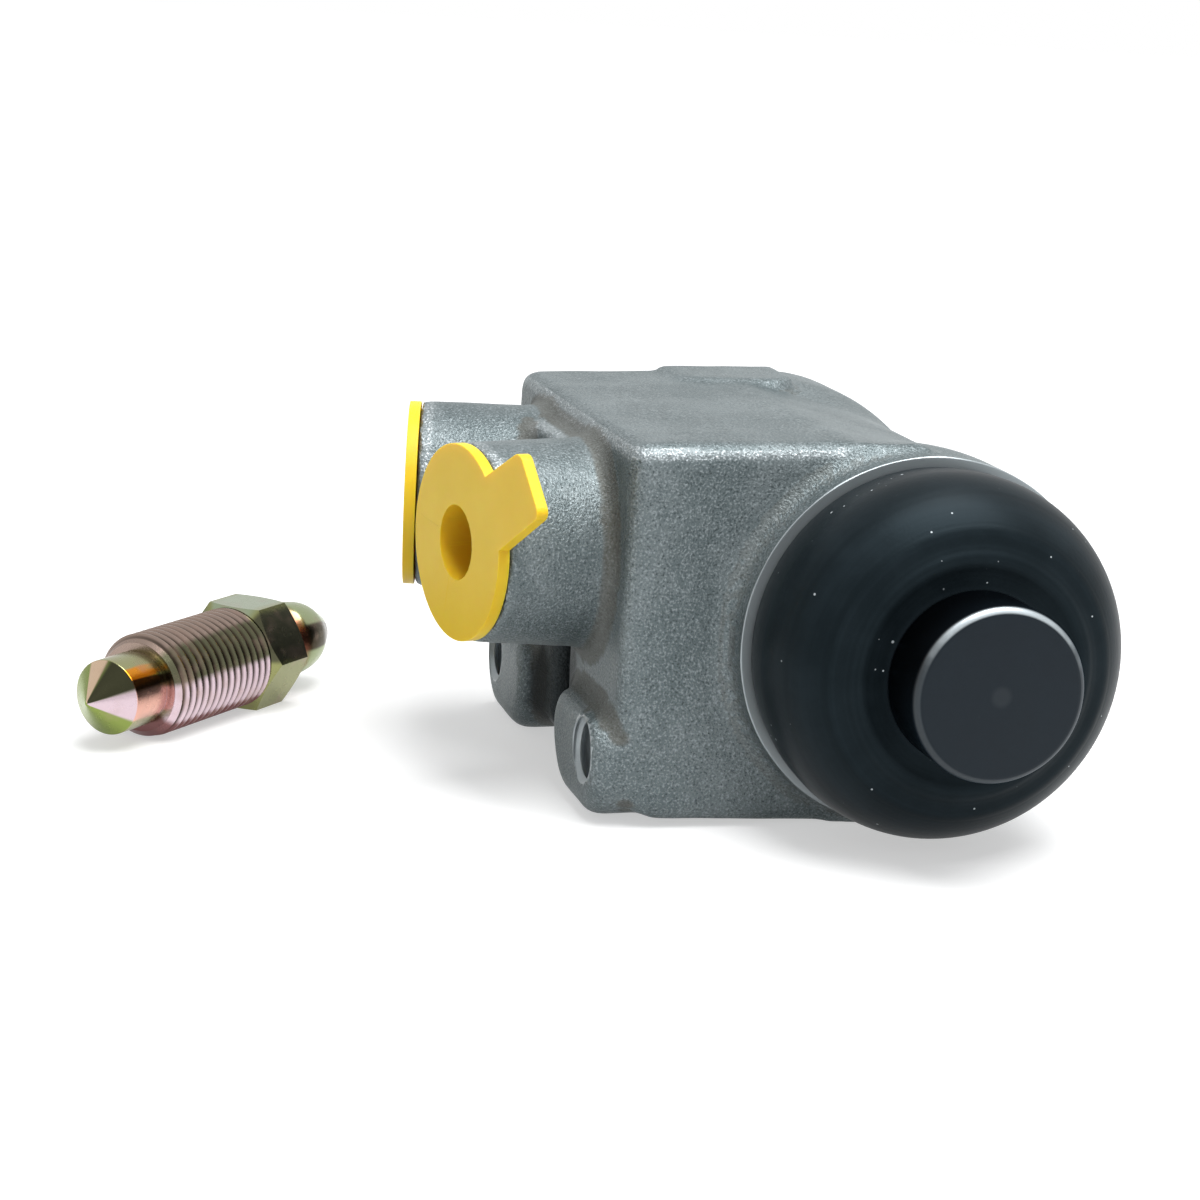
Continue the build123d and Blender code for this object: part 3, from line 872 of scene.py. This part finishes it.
screw_turning = [
    (0, 0, 0),
    (point_radius, 0.05, 0),
    (cone_radius - 0.15, cone_end - 0.12, 0),
    (cone_radius, cone_end, 0.06),
    (cone_radius, tip_end, 0.1),
    (neck_radius, tip_end + 0.2, 0),
    (neck_radius, thread_start, 0),
    (core_radius, thread_start, 0),
    (core_radius, hex_start + 0.5, 0),
    (waist_radius, hex_start + 0.5, 0),
    (waist_radius, waist_end, 0.3),
    (nipple_radius, waist_end + 1.3, 0.3),
    (nipple_radius, waist_end + 2.6, 0.6),
    (nipple_neck, waist_end + 4.3, 0.6),
    (nipple_mouth, nipple_end, 0.3),
    (0, nipple_end, 0),
]
thread_envelope = [
    (0, thread_start, 0),
    (screw_thread_outer / 2 - thread_lead, thread_start, 0),
    (screw_thread_outer / 2, thread_start + thread_lead, 0),
    (screw_thread_outer / 2 + 0.2, hex_start + 0.2, 0),
    (0, hex_start + 0.2, 0),
]
hex_envelope = [
    (0, hex_start, 0),
    (hex_corner - hex_chamfer, hex_start, 0),
    (hex_corner, hex_start + hex_bevel, 0),
    (hex_corner, hex_end - hex_bevel, 0),
    (hex_corner - hex_chamfer, hex_end, 0),
    (0, hex_end, 0),
]
screw = piece("plated_screw", turned(screw_turning))
rolled = threaded(screw_thread_outer / 2, screw_thread_inner / 2, hex_start + overrun, 64)
combine(screw, joined(rolled, turned(thread_envelope), "INTERSECT"), operation="UNION")
hexagon = bmesh.new()
bmesh.ops.create_circle(hexagon, cap_ends=True, segments=6, radius=hex_corner * mm)
head = joined(thickened(hexagon, hex_end + overrun), turned(hex_envelope), "INTERSECT")
combine(screw, head, operation="UNION")
combine(screw, rod(screw_passage_radius, cross_hole_reach, nipple_end + overrun))
cross_place = Matrix.Translation((0, 0, cross_hole_reach * mm)) @ Matrix.Rotation(pi / 2, 4, "X")
combine(screw, rod(cross_hole_radius, 0, cross_hole_length), cross_place)

floor_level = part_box("housing")[0].z
up = Vector((0, 0, 1))
lying_along = Vector((cos(radians(screw_heading)), sin(radians(screw_heading)), 0))
lying = Matrix((up, lying_along.cross(up), lying_along)).transposed().to_4x4()
screw_axis_level = floor_level + screw_flats / 2 * mm
screw_place = Matrix.Translation((screw_tip[0] * mm, screw_tip[1] * mm, screw_axis_level)) @ lying

zinc = Finish("passivated_zinc", {"Metallic": 1.0})
x, y, z = zinc.local(screw_place)
around = zinc.maths("ARCTAN2", y, x)
streaks = zinc.lines(around * 0.0016, z * 0.00008, seed=3)


def painted_reflection_bands(ground, bands):
    """A tint with bands of others along the screw, painted reflections and shade: (degrees round from its
    top, half width, tint).
    """
    for angle, spread, tint in bands:
        towards = zinc.maths("COSINE", around - radians(angle)) + 0.16 * (streaks - 0.5)
        in_band = zinc.ramp(towards, cos(radians(spread)), cos(radians(0.7 * spread)))
        ground = zinc.mix(in_band, ground, tint)
    return ground


pink = colour(196, 176, 184)
olive = colour(60, 60, 44)
root_brown = colour(52, 44, 36)
waist_red = colour(132, 78, 62)
blotch_brown = colour(156, 132, 120)
tint_step = 0.06
# Each stretch's bands are painted reflections and shade over the passivation's own tints.
cone_tints = painted_reflection_bands(colour(124, 138, 72), [
    (-14, 22, colour(202, 176, 150)),
    (36, 40, olive),
    (96, 30, pink),
])
tip_tints = painted_reflection_bands(colour(148, 148, 108), [
    (44, 15, colour(206, 132, 34)),
    (66, 14, colour(58, 38, 26)),
    (98, 28, colour(206, 158, 142)),
])
thread_tints = painted_reflection_bands(colour(146, 128, 118), [
    (62, 34, colour(92, 92, 72)),
    (112, 36, pink),
    (165, 40, colour(120, 84, 84)),
])
crest = zinc.ramp(zinc.off_axis(x, y), screw_thread_inner / 2 + 0.1, screw_thread_outer / 2 - 0.1)
on_thread = zinc.ramp(z, thread_start + 0.5, thread_start + 0.9)
thread_tints = zinc.mix((1 - crest) * on_thread, thread_tints, root_brown)
# Painted light on the hex: the top flat pale, the front flat dark.
hex_tints = painted_reflection_bands(colour(136, 138, 92), [
    (0, 31, colour(146, 157, 131)),
    (60, 31, colour(78, 78, 60)),
    (-60, 31, colour(120, 122, 92)),
])
end_tints = painted_reflection_bands(colour(150, 160, 122), [(76, 24, colour(70, 62, 44))])
on_waist = 1 - zinc.ramp(z, waist_end + 0.6, waist_end + 1.6)
end_tints = zinc.mix(0.85 * on_waist, end_tints, waist_red)
tints = cone_tints
for start, next_tints in (
    (cone_end, tip_tints),
    (thread_start, thread_tints),
    (hex_start, hex_tints),
    (hex_end, end_tints),
):
    tints = zinc.mix(zinc.ramp(z, start - tint_step, start), tints, next_tints)
blotches = zinc.ramp(zinc.noise(2.5, seed=8), 0.5, 0.7)
zinc.link("Base Color", zinc.mix(0.35 * blotches, tints, blotch_brown))
zinc.link("Roughness", 0.2 + 0.12 * zinc.noise(0.8))
zinc.link("Normal", zinc.bump(zinc.noise(0.3), 0.006))
screw.data.transform(screw_place)
finish_mesh(screw, [zinc.material], 30)
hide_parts("bleed_screw")
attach(screw, "housing")

# Floor, light and camera
# A white studio floor that shows white to the camera and keeps the soft shadows. A large lamp hangs
# overhead with a faint one at the front right, and the camera stands where the photograph's did.
floor_radius = 3.0
floor_gap = 0.02
floor_grey = (0.6, 0.6, 0.6, 1)
white_from = 0.12
white_at = 0.7
near_glow = 0.5
floor_shape = bmesh.new()
bmesh.ops.create_circle(floor_shape, cap_ends=True, segments=64, radius=floor_radius)
floor_finish = Finish("white_floor", {
    "Roughness": 0.9, "Base Color": floor_grey, "Specular IOR Level": 0.0, "Emission Strength": 1.0})
seen = floor_finish.maths("MAXIMUM", floor_finish.ray("Camera"), floor_finish.ray("Glossy"))
seen = floor_finish.maths("MAXIMUM", seen, floor_finish.ray("Transmission"))
x, y, z = floor_finish.split(floor_finish.place)
far = floor_finish.ramp(floor_finish.off_axis(x, y), white_from, white_at)
glow = seen * (near_glow + (1 - near_glow) * far)
floor_finish.link("Emission Color", floor_finish.add(
    "ShaderNodeCombineColor", None, {"Red": glow, "Green": glow, "Blue": glow}))
floor_place = Matrix.Translation((0, 0, floor_level - floor_gap * mm))
floor = piece("floor", floor_shape, floor_place, [floor_finish.material])

ambient_tint = (0.95, 0.98, 1.0, 1)
ambient_strength = 0.42
white = (1, 1, 1, 1)
world = bpy.data.worlds.new("studio")
bpy.context.scene.world = world
world.use_nodes = True
studio = Tree(world.node_tree)
seen = studio.maths("MAXIMUM", studio.ray("Camera"), studio.ray("Glossy"))
ambient = studio.add("ShaderNodeBackground", None, {"Color": ambient_tint, "Strength": ambient_strength})
backdrop = studio.add("ShaderNodeBackground", None, {"Color": white, "Strength": 1.0})
surroundings = studio.add("ShaderNodeMixShader", None, {0: seen, 1: ambient, 2: backdrop})
studio.links.new(surroundings.socket, studio.nodes["World Output"].inputs["Surface"])


def softbox(name, place, size, power):
    """A square area light that points at the middle of the housing."""
    light = bpy.data.lights.new(name, "AREA")
    light.size = size
    light.energy = power
    lamp = bpy.data.objects.new(name, light)
    lamp.location = place
    lamp.rotation_euler = (bore_centre - Vector(place)).to_track_quat("-Z", "Y").to_euler()
    bpy.context.scene.collection.objects.link(lamp)


softbox("overhead", (0.08, -0.12, 0.49), size=0.42, power=4.6)
softbox("front_right", (0.3, -0.5, 0.25), size=0.3, power=0.1)

camera_place = Vector((-60.12, -240.08, 66.41))
camera_data = bpy.data.cameras.new("camera")
camera_data.lens = 83.28
camera_data.sensor_width = 36.0
camera_data.clip_start = 0.01
camera = bpy.data.objects.new("camera", camera_data)
right = Vector((0.9662, -0.2528, 0.0508)).normalized()
back = Vector((-0.2577, -0.9398, 0.2243)).normalized()
camera_up = back.cross(right).normalized()
facing = Matrix((camera_up.cross(back), camera_up, back)).transposed().to_4x4()
camera.matrix_world = Matrix.Translation(camera_place * mm) @ facing
bpy.context.scene.collection.objects.link(camera)
bpy.context.scene.camera = camera
bpy.context.scene.view_settings.view_transform = "Standard"
